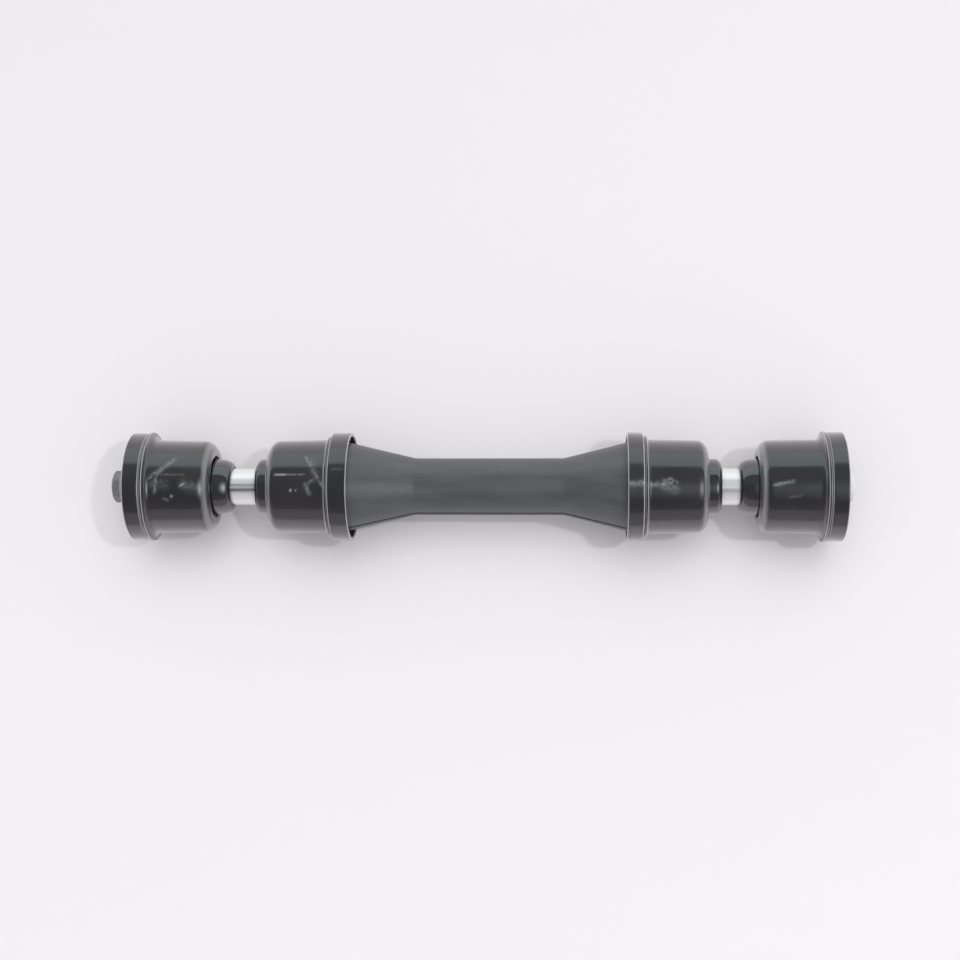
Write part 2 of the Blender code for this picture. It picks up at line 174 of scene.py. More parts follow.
def skin(name, grid, edge_wear_and_highlight, loop=True, full_turn=True):
    """A mesh from points of shape (rows, columns, 3): a face joins i, j to i + 1 and j + 1.

    Rows that don't loop are closed by a flat face at each end, and so are columns that don't
    go the full turn.
    """
    rows, columns = grid.shape[:2]
    index = np.arange(rows * columns).reshape(rows, columns)
    if loop:
        index = np.vstack([index, index[:1]])
    if full_turn:
        index = np.hstack([index, index[:, :1]])
    faces = np.stack([index[:-1, :-1], index[1:, :-1], index[1:, 1:], index[:-1, 1:]], -1)
    faces = faces.reshape(-1, 4).tolist()
    if not loop:
        faces += [index[0, :columns].tolist(), index[-1, :columns][::-1].tolist()]
    if not full_turn:
        faces += [index[:rows, 0][::-1].tolist(), index[:rows, -1].tolist()]
    mesh = bpy.data.meshes.new(name)
    mesh.from_pydata(grid.reshape(-1, 3) * MM, [], faces)
    mesh.shade_smooth()
    mesh.set_sharp_from_angle(angle=SMOOTH_ANGLE)
    store(mesh, "edge_wear_and_highlight", np.broadcast_to(edge_wear_and_highlight, grid.shape[:2]))
    piece = bpy.data.objects.new(name, mesh)
    bpy.context.scene.collection.objects.link(piece)
    return piece


def around(along, radius, angle):
    """Points at a place along X, a distance from it, and an angle from +Y towards +Z."""
    along, radius, angle = np.broadcast_arrays(along, radius, angle)
    return np.stack([along, radius * np.cos(angle), radius * np.sin(angle)], -1)


def turned(name, outline, loop=True):
    """Carry an outline round the axis: point i, j is (along i, radius i at angle j)."""
    grid = around(outline[:, :1], outline[:, 1:2], ANGLES)
    return skin(name, grid, outline[:, 2:3], loop)


def dress(piece, material, body, node):
    """Give a piece its finish, let it ride on its body, and let it stand for its solid."""
    piece.data.materials.append(material)
    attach(piece, body)
    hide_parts(node)
    print(piece.name, "faces:", len(piece.data.polygons))


print("columns round the axis:", len(ANGLES))

# %% [markdown]
# ## Colours and nodes
# Colours are written as they look on a screen and turned to linear light once. A material is a
# small network, so one helper adds a node, sets its own properties, and then gives each input
# either a value or a link. The others are short names for the few nodes that every finish uses:
# noise in object space, so that a pattern keeps its size in millimetres, a ramp, a colour mix, a
# bump, and a number that is kept on the mesh.

# %% Colour and node helpers
def linear(hex_colour):
    """An sRGB hex colour as linear red, green, blue and alpha."""
    channels = np.array([int(hex_colour[i:i + 2], 16) for i in (0, 2, 4)]) / 255
    low = channels / 12.92
    high = ((channels + 0.055) / 1.055) ** 2.4
    return (*np.where(channels <= 0.04045, low, high), 1.0)


def add_node(tree, kind, inputs=None, **settings):
    """Add a node. Inputs are given by name or number, as a value or as another node's output."""
    node = tree.nodes.new("ShaderNode" + kind)
    for key, value in settings.items():
        setattr(node, key, value)
    for key, value in (inputs or {}).items():
        if isinstance(value, bpy.types.NodeSocket):
            tree.links.new(value, node.inputs[key])
        else:
            node.inputs[key].default_value = value
    return node


def new_material(name):
    """A material with a bare Principled shader, and its node tree."""
    material = bpy.data.materials.new(name)
    material.use_nodes = True
    return material, material.node_tree, material.node_tree.nodes["Principled BSDF"]


def noise(tree, size_mm, stretch=(1, 1, 1), detail=2.0):
    """A noise whose grains are about size_mm wide, longer by stretch along each axis."""
    place = add_node(tree, "TexCoord").outputs["Object"]
    scale = tuple(1 / (size_mm * MM * s) for s in stretch)
    mapped = add_node(tree, "Mapping", {"Vector": place, "Scale": scale})
    return add_node(tree, "TexNoise", {"Vector": mapped.outputs[0], "Scale": 1.0,
                                       "Detail": detail, "Roughness": 0.55}).outputs["Fac"]


def ramp(tree, value, low, high, to_low=0.0, to_high=1.0):
    """Map a value from one range to another and keep it there."""
    return add_node(tree, "MapRange", {"Value": value, "From Min": low, "From Max": high,
                                       "To Min": to_low, "To Max": to_high}).outputs["Result"]


def calculate(tree, operation, *values):
    """One Math node."""
    return add_node(tree, "Math", dict(enumerate(values)), operation=operation).outputs[0]


MIX_A, MIX_B, MIX_RESULT = 6, 7, 2       # where the Mix node keeps its colour sockets


def blended(tree, share, first, second):
    """Mix two colours, each a hex colour or an output, by a share."""
    first, second = (linear(c) if isinstance(c, str) else c for c in (first, second))
    mix = add_node(tree, "Mix", {"Factor": share, MIX_A: first, MIX_B: second}, data_type="RGBA")
    return mix.outputs[MIX_RESULT]


def bump(tree, height, distance_mm, strength, normal=None):
    """A bump from a height output."""
    inputs = {"Height": height, "Distance": distance_mm * MM, "Strength": strength}
    if normal is not None:
        inputs["Normal"] = normal
    return add_node(tree, "Bump", inputs).outputs["Normal"]


def attribute(tree, name):
    """A number kept on the mesh's points."""
    return add_node(tree, "Attribute", attribute_name=name).outputs["Fac"]


print("mid grey is %.3f in linear light" % linear("808080")[0])

# %% [markdown]
# ## Black gloss paint on pressed steel
# The cans and cups are pressed from sheet and dipped in black paint, which is baked. Up close
# such paint has orange peel, a slow waviness about a millimetre wide, so its reflections are
# soft at their edges. It rubs thin on outward edges, where a pale line shows. That pale line
# also stands for the light that the rounded edges catch, so it is partly a painted highlight.
# It has scuffs where the parts knocked together in their box. The scuffs are strokes painted on
# the mesh, broken up here by a fine noise. A film of oil lies over the paint, so there are two
# glossy layers: the paint's own and a clear coat. A little sheen stands for fine dust.

# %% Black gloss paint
ORANGE_PEEL = 1.3            # mm
SCUFF_GRAIN = 1.5            # mm, drawn coarser than real scratches so that it shows
PAINT_CLOUD = 16             # mm, slow change of tone and haze over a can
PRESS_WAVE = 6               # mm, shallow waves that the press leaves


def black_gloss_paint():
    """Deep black with soft-edged reflections, pale edges of rubbed paint and painted highlight,
    and broken scuffs.
    """
    material, tree, shader = new_material("baked_black_gloss_paint")
    cloud = noise(tree, PAINT_CLOUD)
    colour = blended(tree, ramp(tree, cloud, 0.35, 0.65), "191b1c", "211f23")
    # Pale edges: partly paint rubbed thin, partly a painted highlight where the rounded edges
    # catch the light.
    worn_and_highlit_edge = ramp(tree, attribute(tree, "edge_wear_and_highlight"), 0.4, 0.9, 0.0, 0.8)
    colour = blended(tree, worn_and_highlit_edge, colour, "b4b5b8")
    grain = ramp(tree, noise(tree, SCUFF_GRAIN, detail=5), 0.36, 0.62, 0.25, 1)
    broken = calculate(tree, "MULTIPLY", attribute(tree, "scuff"), grain)
    tree.links.new(blended(tree, broken, colour, "c2c6c6"), shader.inputs["Base Color"])
    haze = ramp(tree, cloud, 0.3, 0.7, 0.15, 0.24)
    rough = calculate(tree, "ADD", haze, ramp(tree, broken, 0, 1, 0, 0.35))
    tree.links.new(rough, shader.inputs["Roughness"])
    peel = bump(tree, noise(tree, ORANGE_PEEL), 0.02, 0.30)
    tree.links.new(bump(tree, noise(tree, PRESS_WAVE), 0.10, 0.35, peel), shader.inputs["Normal"])
    shader.inputs["IOR"].default_value = 1.7
    shader.inputs["Coat Weight"].default_value = 0.8
    shader.inputs["Coat Roughness"].default_value = 0.12
    shader.inputs["Sheen Weight"].default_value = 0.12
    shader.inputs["Sheen Roughness"].default_value = 0.4
    return material


BLACK_PAINT = black_gloss_paint()
print(BLACK_PAINT.name, "nodes:", len(BLACK_PAINT.node_tree.nodes))

# %% [markdown]
# ## Rubber
# The bushing rubber is moulded against polished steel and wiped with oil, so it is nearly as
# glossy as the paint. A plain glossy black would look like plastic. A smear noise, longer along
# the bolt, changes its tone and its gloss together, because both come from how thick the film
# of oil is.

# %% Oiled rubber
RUBBER_SMEAR = 3.5           # mm across
SMEAR_STRETCH = (2.2, 1, 1)
MOULD_WAVE = 1.8             # mm


def oiled_rubber():
    """Nearly mirror-like black, with duller smears where the oil has been wiped off."""
    material, tree, shader = new_material("oiled_black_rubber")
    smear = noise(tree, RUBBER_SMEAR, SMEAR_STRETCH, 3)
    tree.links.new(blended(tree, smear, "141415", "222224"), shader.inputs["Base Color"])
    tree.links.new(ramp(tree, smear, 0.35, 0.65, 0.08, 0.20), shader.inputs["Roughness"])
    tree.links.new(bump(tree, noise(tree, MOULD_WAVE), 0.06, 0.45), shader.inputs["Normal"])
    shader.inputs["IOR"].default_value = 1.8
    shader.inputs["Coat Weight"].default_value = 1.0
    shader.inputs["Coat Roughness"].default_value = 0.08
    return material


RUBBER = oiled_rubber()
print(RUBBER.name, "nodes:", len(RUBBER.node_tree.nodes))

# %% [markdown]
# ## Zinc
# The tube is drawn through a die, which leaves fine lines along it, and then bright zinc plated.
# A picture of brushed metal could be wrapped round it, but a noise that is sixty times longer
# along the tube than across it makes the lines without a seam. The dark streaks along its top
# are a painted reflection of the dark camera overhead. They are kept on the mesh, and the lines
# break them up. It is only half metallic here: fully metallic, it would mirror the dark ceiling
# too strongly.

# %% Bright zinc
DRAWN_LINE = 0.35            # mm across
LINE_STRETCH = (60, 1, 1)


def bright_zinc():
    """A nearly white metal with fine lines along it and a few dark streaks of painted reflection.
    """
    material, tree, shader = new_material("bright_zinc_on_drawn_tube")
    line = noise(tree, DRAWN_LINE, LINE_STRETCH, 3)
    colour = blended(tree, line, "e9eaec", "fafafa")
    # Painted reflection: dark streaks where the dark camera overhead is mirrored along the top.
    lines_in_painted_reflection = ramp(tree, line, 0.3, 0.6, 0.6, 1)
    painted_dark_reflection = calculate(tree, "MULTIPLY", attribute(tree, "painted_dark_reflection"), lines_in_painted_reflection)
    tree.links.new(blended(tree, painted_dark_reflection, colour, "4c5052"), shader.inputs["Base Color"])
    tree.links.new(ramp(tree, line, 0.3, 0.7, 0.16, 0.28), shader.inputs["Roughness"])
    tree.links.new(bump(tree, line, 0.01, 0.25), shader.inputs["Normal"])
    shader.inputs["Metallic"].default_value = 0.45
    return material


ZINC = bright_zinc()
print(ZINC.name, "nodes:", len(ZINC.node_tree.nodes))

# %% [markdown]
# ## Plated steel
# The bolt's head and the washers are forged or stamped and have a dull grey plating, which is
# cloudy up close and brighter where an edge is rubbed. The nut and the bolt's threaded end are
# pale. A second material would need a second slot on the bolt, so these points carry an
# attribute that turns the same finish to nearly white.

# %% Grey plated steel
PLATING_CLOUD = 2.5          # mm
PLATING_GRAIN = 0.5          # mm


def grey_plated_steel():
    """Dull cloudy grey with brighter edges, or a pale grey where the attribute says so."""
    material, tree, shader = new_material("grey_plated_steel")
    cloud = noise(tree, PLATING_CLOUD, detail=4)
    colour = blended(tree, ramp(tree, cloud, 0.35, 0.65), "7c7b7d", "8c8b8d")
    rubbed = ramp(tree, attribute(tree, "edge_wear_and_highlight"), 0.3, 1.0, 0.0, 0.5)
    colour = blended(tree, rubbed, colour, "c9c8c8")
    pale = attribute(tree, "pale")
    tree.links.new(blended(tree, pale, colour, "f0f0f1"), shader.inputs["Base Color"])
    tree.links.new(ramp(tree, pale, 0, 1, 0.25, 0.05), shader.inputs["Metallic"])
    tree.links.new(ramp(tree, cloud, 0.3, 0.7, 0.40, 0.55), shader.inputs["Roughness"])
    grain = noise(tree, PLATING_GRAIN, detail=3)
    tree.links.new(bump(tree, grain, 0.02, 0.4), shader.inputs["Normal"])
    return material


STEEL = grey_plated_steel()
print(STEEL.name, "nodes:", len(STEEL.node_tree.nodes))

# %% [markdown]
# ## Plastic
# The sleeve is moulded in a dark grey plastic. The mould has a fine grain, which makes it satin,
# and the melt leaves faint marks where it flowed along the sleeve. Shade is painted into the seam
# between the two halves, darkening the groove's colour. A shader could look for hollows by
# itself, but that is slow and spreads, so how close a point is to the seam is kept on the mesh.

# %% Satin plastic
FLOW_MARK = 5                # mm across
FLOW_STRETCH = (6, 1, 1)
MOULD_GRAIN = 0.6            # mm


def satin_plastic():
    """Dark grey with broad soft reflections, faint marks along it and painted shade in the seam.
    """
    material, tree, shader = new_material("satin_moulded_plastic")
    flow = noise(tree, FLOW_MARK, FLOW_STRETCH, 3)
    colour = blended(tree, ramp(tree, flow, 0.35, 0.65), "464a4b", "515354")
    rubbed = ramp(tree, attribute(tree, "edge_wear_and_highlight"), 0.3, 1.0, 0.0, 0.35)
    colour = blended(tree, rubbed, colour, "8b8c8d")
    # Painted shade: the groove of the seam is darkened in the colour.
    seam_shade = ramp(tree, attribute(tree, "painted_seam_shade"), 0.25, 0.75, 0.0, 0.95)
    tree.links.new(blended(tree, seam_shade, colour, "0e0e0e"), shader.inputs["Base Color"])
    tree.links.new(ramp(tree, flow, 0.3, 0.7, 0.38, 0.48), shader.inputs["Roughness"])
    grain = noise(tree, MOULD_GRAIN, detail=3)
    tree.links.new(bump(tree, grain, 0.02, 0.35), shader.inputs["Normal"])
    shader.inputs["IOR"].default_value = 1.7
    return material


PLASTIC = satin_plastic()
print(PLASTIC.name, "nodes:", len(PLASTIC.node_tree.nodes))

# %% [markdown]
# ## Nylon
# The ring that makes the lock nut grip is nylon without any dye: milky and slightly yellow.
# Light passes a little way into real nylon, but the ring is so small that a soft cloudiness and
# a faint grain are enough.

# %% Natural nylon
NYLON_CLOUD = 1.5            # mm
NYLON_GRAIN = 0.3            # mm


def natural_nylon():
    """Milky and slightly yellow, with a dull shine."""
    material, tree, shader = new_material("natural_nylon")
    cloud = noise(tree, NYLON_CLOUD)
    tree.links.new(blended(tree, cloud, "dedbd0", "ebe9e2"), shader.inputs["Base Color"])
    tree.links.new(bump(tree, noise(tree, NYLON_GRAIN), 0.01, 0.3), shader.inputs["Normal"])
    shader.inputs["Roughness"].default_value = 0.42
    shader.inputs["IOR"].default_value = 1.53
    return material


NYLON = natural_nylon()
print("materials:", [m.name for m in bpy.data.materials])

# %% [markdown]
# ## The inner tube
# A plain length of thick-walled tube, cut off and lightly deburred at both ends. A cylinder
# with a smaller one cut out of it would do, but its ends would be sharp. So the tube is an
# outline of four corners, with the small chamfer that the deburring leaves made as an arc. Two
# dark streaks of painted reflection, where the camera overhead is mirrored, run along its
# upper side. Each is a bell curve of the angle, stronger at the left end.

# %% Inner tube
SHANK_RADIUS = 5.0
CLEARANCE = 0.3              # round everything that turns or slides
HOLE_RADIUS = SHANK_RADIUS + CLEARANCE
TUBE_EDGE = 0.4
# Painted reflection of the dark camera overhead, as dark streaks along the tube's top.
PAINTED_REFLECTIONS = ((10, 7, 1, 0.5), (-5, 5, 0.7, 0.1))   # degrees from the top, width, strength each end


def ring(low, high, outer, inner, edge):
    """Outline of a plain ring with all four corners rounded alike."""
    corners = [(high, outer), (low, outer), (low, inner), (high, inner)]
    return rounded([(*corner, edge) for corner in corners])


tube_low, tube_high, TUBE_RADIUS = reach("inner_tube")
BORE_RADIUS = TUBE_RADIUS + CLEARANCE
outline = ring(tube_low, tube_high, TUBE_RADIUS, HOLE_RADIUS, TUBE_EDGE)
tube = turned("plated_tube", outline)
from_top = np.arange(ROUND) * 360 / ROUND - 90
on_left = outline[:, :1] < 0
# Store the painted dark reflection: a bell curve of the angle for each streak.
store(tube.data, "painted_dark_reflection", sum(
    np.exp(-((from_top - middle) / width) ** 2) * np.where(on_left, left, right)
    for middle, width, left, right in PAINTED_REFLECTIONS))
dress(tube, ZINC, "tube", "inner_tube")

# %% [markdown]
# ## Washers
# A stamped washer has a rolled edge on the side where the punch came in. With only a few
# pixels to show it, one small radius on every corner is enough. Two of them lie on the tube's
# ends, with the bolt through them, and two lie on the sleeve's ends, with the tube through them.

# %% Washers
WASHER_EDGE = 0.35
WASHERS = (("head_washer", "bolt", HOLE_RADIUS), ("nut_washer", "nut_washer", HOLE_RADIUS),
           ("left_sleeve_washer", "sleeve", BORE_RADIUS),
           ("right_sleeve_washer", "sleeve", BORE_RADIUS))
for node, body, hole in WASHERS:
    low, high, radius = reach(node)
    washer = turned("stamped_" + node, ring(low, high, radius, hole, WASHER_EDGE))
    dress(washer, STEEL, body, node)

# %% [markdown]
# ## Bushings: cup, can and rubber
# Each bushing is a drawn can filled with rubber. The can has a thin flange, a barrel that tapers
# by half a millimetre so that it leaves its die, and a wide mouth with a big rounded corner. The
# rubber's nose stands out of that mouth, with an open groove round it. A cup closes the flange.
# Each is one outline, written once with its zero at the flange, and put at its places later.

# %% Outlines of the cup, the can and the rubber
CUP_WALL = 1.8
CUP_FLOOR = 2.0
CUP_DRAFT = 0.25             # how far the cup is narrower at its floor
CUP_CORNER = 0.9
RIM_ROUNDING = 0.7
FLANGE_THICKNESS = 1.5
FLANGE_ROUNDING = 0.6
CAN_WALL = 1.5
CAN_CORNER = 5.5
MOUTH_RADIUS = 15.4
MOUTH_LAND = 1.9             # flat ring between the mouth and the corner
MOUTH_ROUNDING = 0.6
BARREL_TAPER = 0.6
BARREL_FRONT_RADIUS = MOUTH_RADIUS + MOUTH_LAND + CAN_CORNER
BARREL_BACK_RADIUS = BARREL_FRONT_RADIUS + BARREL_TAPER
MOULD_GAP = 0.3              # between rubber and steel
NOSE_RADIUS = 13.9
NOSE_ROUNDING = 3.7          # how far the shoulder comes in towards the tip
SHOULDER_STEPS = 20
GROOVE_FLOOR = 0.8           # depth of the groove's floor behind the can's inner face


def cup_outline(depth, radius):
    """A shallow cup: its rim at 0, its floor's outside at the depth."""
    inner = radius - CUP_WALL
    return rounded([
        (depth, BORE_RADIUS, 0.3), (depth, radius - CUP_DRAFT, CUP_CORNER),
        (0, radius, RIM_ROUNDING), (0, inner, RIM_ROUNDING),
        (depth - CUP_FLOOR, inner - CUP_DRAFT, 1.2), (depth - CUP_FLOOR, BORE_RADIUS, 0.3)],
        FINE_SPACING)


def can_outline(length, radius, fillet):
    """A drawn can: its flange at 0, its mouth at the length."""
    inner_front = length - CAN_WALL
    return rounded([
        (length, MOUTH_RADIUS, MOUTH_ROUNDING), (length, BARREL_FRONT_RADIUS, CAN_CORNER),
        (FLANGE_THICKNESS, BARREL_BACK_RADIUS, fillet),
        (FLANGE_THICKNESS, radius, FLANGE_ROUNDING),
        (0, radius, 0.5), (0, BARREL_BACK_RADIUS - CAN_WALL, 0.4),
        (inner_front, BARREL_FRONT_RADIUS - CAN_WALL, CAN_CORNER - CAN_WALL),
        (inner_front, MOUTH_RADIUS, MOUTH_ROUNDING)], FINE_SPACING)


def rubber_outline(can_length, tip, slope):
    """Rubber that fills the can and ends in a nose, whose shoulder is a quarter of an ellipse.

    The quarter runs from the tip's ring, slope * cos(t) along and rounding * sin(t) outwards.
    """
    inset = CAN_WALL + MOULD_GAP
    front = can_length - inset
    t = np.linspace(0, np.pi / 2, SHOULDER_STEPS)
    shoulder = np.column_stack([tip - slope + slope * np.cos(t),
                                NOSE_RADIUS - NOSE_ROUNDING * (1 - np.sin(t)), 0 * t])
    return rounded([
        (tip, BORE_RADIUS, 0.5), *shoulder, (front - GROOVE_FLOOR, NOSE_RADIUS, 0.5),
        (front - GROOVE_FLOOR, MOUTH_RADIUS + 0.6, 0.5), (front, MOUTH_RADIUS + 1.0, 0.5),
        (front, BARREL_FRONT_RADIUS - inset, CAN_CORNER - inset),
        (0, BARREL_BACK_RADIUS - inset, 0.3), (0, BORE_RADIUS, 0.3)])


print("barrel radius from %.1f to %.1f mm" % (BARREL_BACK_RADIUS, BARREL_FRONT_RADIUS))

# %% [markdown]
# ## Scuffs
# A scuff is a soft stroke: a point's share falls with its distance from a line, as a bell curve
# of the stroke's width. The line runs from one (distance from the flange, angle from the top) to
# another, and the angle is turned to millimetres along the surface. Strokes could be painted by
# hand, but numbers can be changed one by one. Every can and cup gets the attribute, also where
# there is no stroke, so that one paint serves them all.

# %% Paint strokes on a piece
SCUFF_DEPTH = 3              # mm below the outside, where the strokes stop


def paint_scuffs(piece, base, facing, radius, strokes):
    """Store the strongest of the strokes' shares on each point as the attribute scuff.

    A stroke is (start along, start degrees, end along, end degrees, width mm, strength).
    Degrees count from the top towards -Y.
    """
    co = np.empty(len(piece.data.vertices) * 3, np.float32)
    piece.data.vertices.foreach_get("co", co)
    x, y, z = co.reshape(-1, 3).T / MM
    along = (x - base) * facing
    across = np.arctan2(-y, z) * radius
    outside = np.hypot(y, z) > radius - SCUFF_DEPTH
    total = np.zeros(len(x))
    for start_along, start_angle, end_along, end_angle, width, strength in strokes:
        start = np.array([start_along, np.radians(start_angle) * radius])
        step = np.array([end_along, np.radians(end_angle) * radius]) - start
        share = ((along - start[0]) * step[0] + (across - start[1]) * step[1]) / (step @ step)
        share = np.clip(share, 0, 1)
        gap = np.hypot(along - start[0] - share * step[0], across - start[1] - share * step[1])
        total = np.maximum(total, strength * np.exp(-(gap / width) ** 2))
    store(piece.data, "scuff", total * outside)


CAN_SCUFFS = {
    "left_outer": [
        (4.3, -10.6, 10.1, -23, 0.9, 0.30), (7.7, -14, 15.9, -35, 1.1, 0.26),
        (9.1, -15.5, 21.3, -15.5, 0.35, 0.22), (7.7, -10.6, 7.2, 6.4, 0.8, 0.32),
        (19.8, -1, 21.8, -4.5, 0.5, 0.60), (21.8, -3, 28.6, 2, 2.4, 0.16),
        (11.1, 14, 13.5, 16.3, 0.5, 0.28), (15.3, 11.3, 15.5, 11.5, 0.55, 0.80),
        (6.0, -4, 12.0, -3, 2.2, 0.12)],
    "left_inner": [
        (25.4, -15.5, 20.5, -15.2, 0.35, 0.75), (20.5, -15.2, 10.8, -15.6, 0.3, 0.42),
        (10.8, -38.7, 1.6, 0.4, 0.7, 0.30), (8.0, -33, 5.0, -12, 1.8, 0.13),
        (17.6, 4, 17.7, 4.4, 0.45, 1.00), (14.9, 4, 15.0, 4.3, 0.4, 0.70),
        (10.3, -3, 8.5, 8, 0.9, 0.26), (7.0, -8, 9.5, -3, 0.8, 0.22)],
    "right_inner": [
        (2.0, -2.5, 8.8, -3.5, 1.0, 0.42), (8.8, -8, 12.0, -10, 0.7, 0.30),
        (12.0, -10, 15.0, -6, 0.6, 0.26), (15.0, -6, 13.5, 3, 0.6, 0.22),
        (7.5, -3, 14.0, 3, 2.2, 0.20), (10.0, -5, 12.5, -5, 0.8, 0.34)],
    "right_outer": [
        (27.0, -2.5, 17.5, -7, 0.7, 0.36), (26.0, -2, 23.0, -3, 0.5, 0.40),
        (20.0, 12, 14.0, 10, 0.5, 0.14)],
}
CUP_SCUFFS = {
    "right_inner": [(0.8, -3, 7.6, -4.6, 1.3, 0.36)],
    "left_inner": [(2.0, -19, 7.0, -19, 0.5, 0.12)],
}
print("strokes on the cans:", sum(map(len, CAN_SCUFFS.values())))

# %% [markdown]
# ## Four bushings
# The same three outlines go to four places, two facing right and two facing left. The outer
# bushings have a longer shoulder on the nose and a wider rounding beside the flange than the
# inner ones. Copies with their own size are made anew here, instead of scaled, so that walls
# and roundings keep their true size.

# %% Cup, can and rubber at four places
OUTER = (7.4, 3.0)           # length of the nose's shoulder, rounding from flange to barrel
INNER = (3.4, 1.2)
for place, faces, (slope, fillet) in (("left_outer", 1, OUTER), ("left_inner", -1, INNER),
                                      ("right_inner", 1, INNER), ("right_outer", -1, OUTER)):
    low, high, radius = reach(place + "_cup")
    rim = low if faces > 0 else high
    cup = turned(place + "_pressed_cup", placed(cup_outline(high - low, radius), rim, faces))
    paint_scuffs(cup, rim, faces, radius, CUP_SCUFFS.get(place, []))
    dress(cup, BLACK_PAINT, place + "_cup", place + "_cup")

    low, high, radius = reach(place + "_shell")
    flange = low if faces > 0 else high
    can_length = high - low
    outline = placed(can_outline(can_length, radius, fillet), flange, faces)
    can = turned(place + "_drawn_can", outline)
    paint_scuffs(can, flange, faces, BARREL_FRONT_RADIUS, CAN_SCUFFS[place])
    dress(can, BLACK_PAINT, place + "_bushing", place + "_shell")

    low, high, _ = reach(place + "_core")
    outline = placed(rubber_outline(can_length, high - low, slope), flange, faces)
    rubber = turned(place + "_moulded_rubber", outline)
    dress(rubber, RUBBER, place + "_bushing", place + "_core")

# %% [markdown]
# ## The spacer sleeve
# The sleeve is moulded as two halves that meet along a seam, and it flares at both ends to fill
# the cups. A whole sleeve could be cut in two, but a cut leaves ragged faces, so each half is the
# same outline carried from one edge of the seam to the other. The seam is a flat gap, so at a
# small radius it takes a larger angle: the angle's sine is half the gap over the radius. Close
# to the seam the outside drops away as a small arc.

# %% Sleeve halves
SEAM_GAP = 0.3
SEAM_ANGLE = np.radians(-20.5)
SEAM_ROUNDING = 1.5          # mould edges and a little flash, drawn wide enough to show
SEAM_STEPS = 6
SLEEVE_RADIUS = 14.15
SLEEVE_BEND = 9.0            # rounding where a flare begins
LEFT_FLARE = 36.6
RIGHT_FLARE = 34.4           # a little steeper than the left one
FLARE_WALL = 3.0


def sleeve_outline(low, high, flare_radius):
    """A thick tube that widens towards both ends, hollow cones inside the flares."""
    hollow = (flare_radius - FLARE_WALL - BORE_RADIUS) / (flare_radius - SLEEVE_RADIUS)
    return rounded([
        (high, flare_radius, 0.8), (high - RIGHT_FLARE, SLEEVE_RADIUS, SLEEVE_BEND),
        (low + LEFT_FLARE, SLEEVE_RADIUS, SLEEVE_BEND), (low, flare_radius, 0.8),
        (low, flare_radius - FLARE_WALL, 0.5), (low + hollow * LEFT_FLARE, BORE_RADIUS, 2.0),
        (high - hollow * RIGHT_FLARE, BORE_RADIUS, 2.0), (high, flare_radius - FLARE_WALL, 0.5)])


def half_sleeve(name, outline, start):
    """Carry the outline through half a turn, less the seam's gap at each end."""
    near_seam = SEAM_ROUNDING * (1 - np.cos(np.linspace(0, np.pi / 2, SEAM_STEPS)))
    radius = outline[:, 1:2]
    margin = np.arcsin(SEAM_GAP / 2 / radius)
    first = start + margin + near_seam / radius
    last = start + np.pi - margin - near_seam[::-1] / radius
    share = np.linspace(0, 1, ROUND // 2 + 1)[1:-1]
    middle = first[:, -1:] + (last[:, :1] - first[:, -1:]) * share
    angle = np.hstack([first, middle, last])
    drop = SEAM_ROUNDING - np.sqrt(SEAM_ROUNDING ** 2 - (SEAM_ROUNDING - near_seam) ** 2)
    drops = np.concatenate([drop, np.zeros(len(share)), drop[::-1]])
    outside = radius > BORE_RADIUS + FLARE_WALL
    grid = around(outline[:, :1], radius - drops * outside, angle)
    half = skin(name, grid, outline[:, 2:3], full_turn=False)
    # How close each point is to the seam, kept for the painted shade there.
    store(half.data, "painted_seam_shade", (drops / SEAM_ROUNDING) ** 0.5 * outside)
    return half


low, high, flare_radius = reach("sleeve_lower_half")
outline = sleeve_outline(low, high, flare_radius)
for side, start in (("upper", SEAM_ANGLE), ("lower", SEAM_ANGLE + np.pi)):
    half = half_sleeve(side + "_half_of_sleeve", outline, start)
    dress(half, PLASTIC, "sleeve", "sleeve_" + side + "_half")

# %% [markdown]
# ## Hexagons and the thread
# A hexagon is where three pairs of flats come closest to the axis. Taking the flats' distances
# together with a high power, instead of only the nearest, gives the same hexagon with softly
# rounded corners. The chamfer cuts it with a cone, so the end face is a circle and each flat
# ends in a curve. The thread is a ridge that climbs by its pitch at each turn. Blender's screw
# modifier could wind it, but as a radius it joins the shank without a cut.

# %% Hexagon and thread
HEX_SOFTNESS = 60            # the power: a higher one makes sharper corners
HEX_CHAMFER = np.radians(30)
THREAD_PITCH = 1.5
THREAD_DEPTH = 0.92
THREAD_CREST = 0.14          # flat share of the ridge
THREAD_FLANK = 0.64          # share that slopes; the rest is the flat root


def hexagon_radius(across_flats, roll):
    """Half the width over the high-power mean of the three cosines to the pairs of flats."""
    flats = np.radians([90, 30, -30])[:, None] + roll
    cosines = np.abs(np.cos(ANGLES - flats)) ** HEX_SOFTNESS
    return across_flats / 2 / cosines.sum(0) ** (1 / HEX_SOFTNESS)


def thread_radius(along):
    """The shank's radius less the thread's depth where the phase along / pitch - turns is low."""
    phase = (along / THREAD_PITCH - ANGLES / TURN) % 1
    from_crest = np.abs(phase - 0.5) * 2
    slope = np.clip((from_crest - THREAD_CREST) / THREAD_FLANK, 0, 1)
    return SHANK_RADIUS - THREAD_DEPTH * slope


def rows_round(points):
    """Rows and their edge share from (along, radius, edge_wear_and_highlight), where a place or
    radius may vary round.
    """
    rows = np.stack([around(along, radius, ANGLES) for along, radius, _ in points])
    return rows, np.array([edge_wear_and_highlight for *_, edge_wear_and_highlight in points])[:, None]


trial = hexagon_radius(14.0, 0)
print("a hexagon of 14 mm reaches from %.2f to %.2f mm" % (trial.min(), trial.max()))

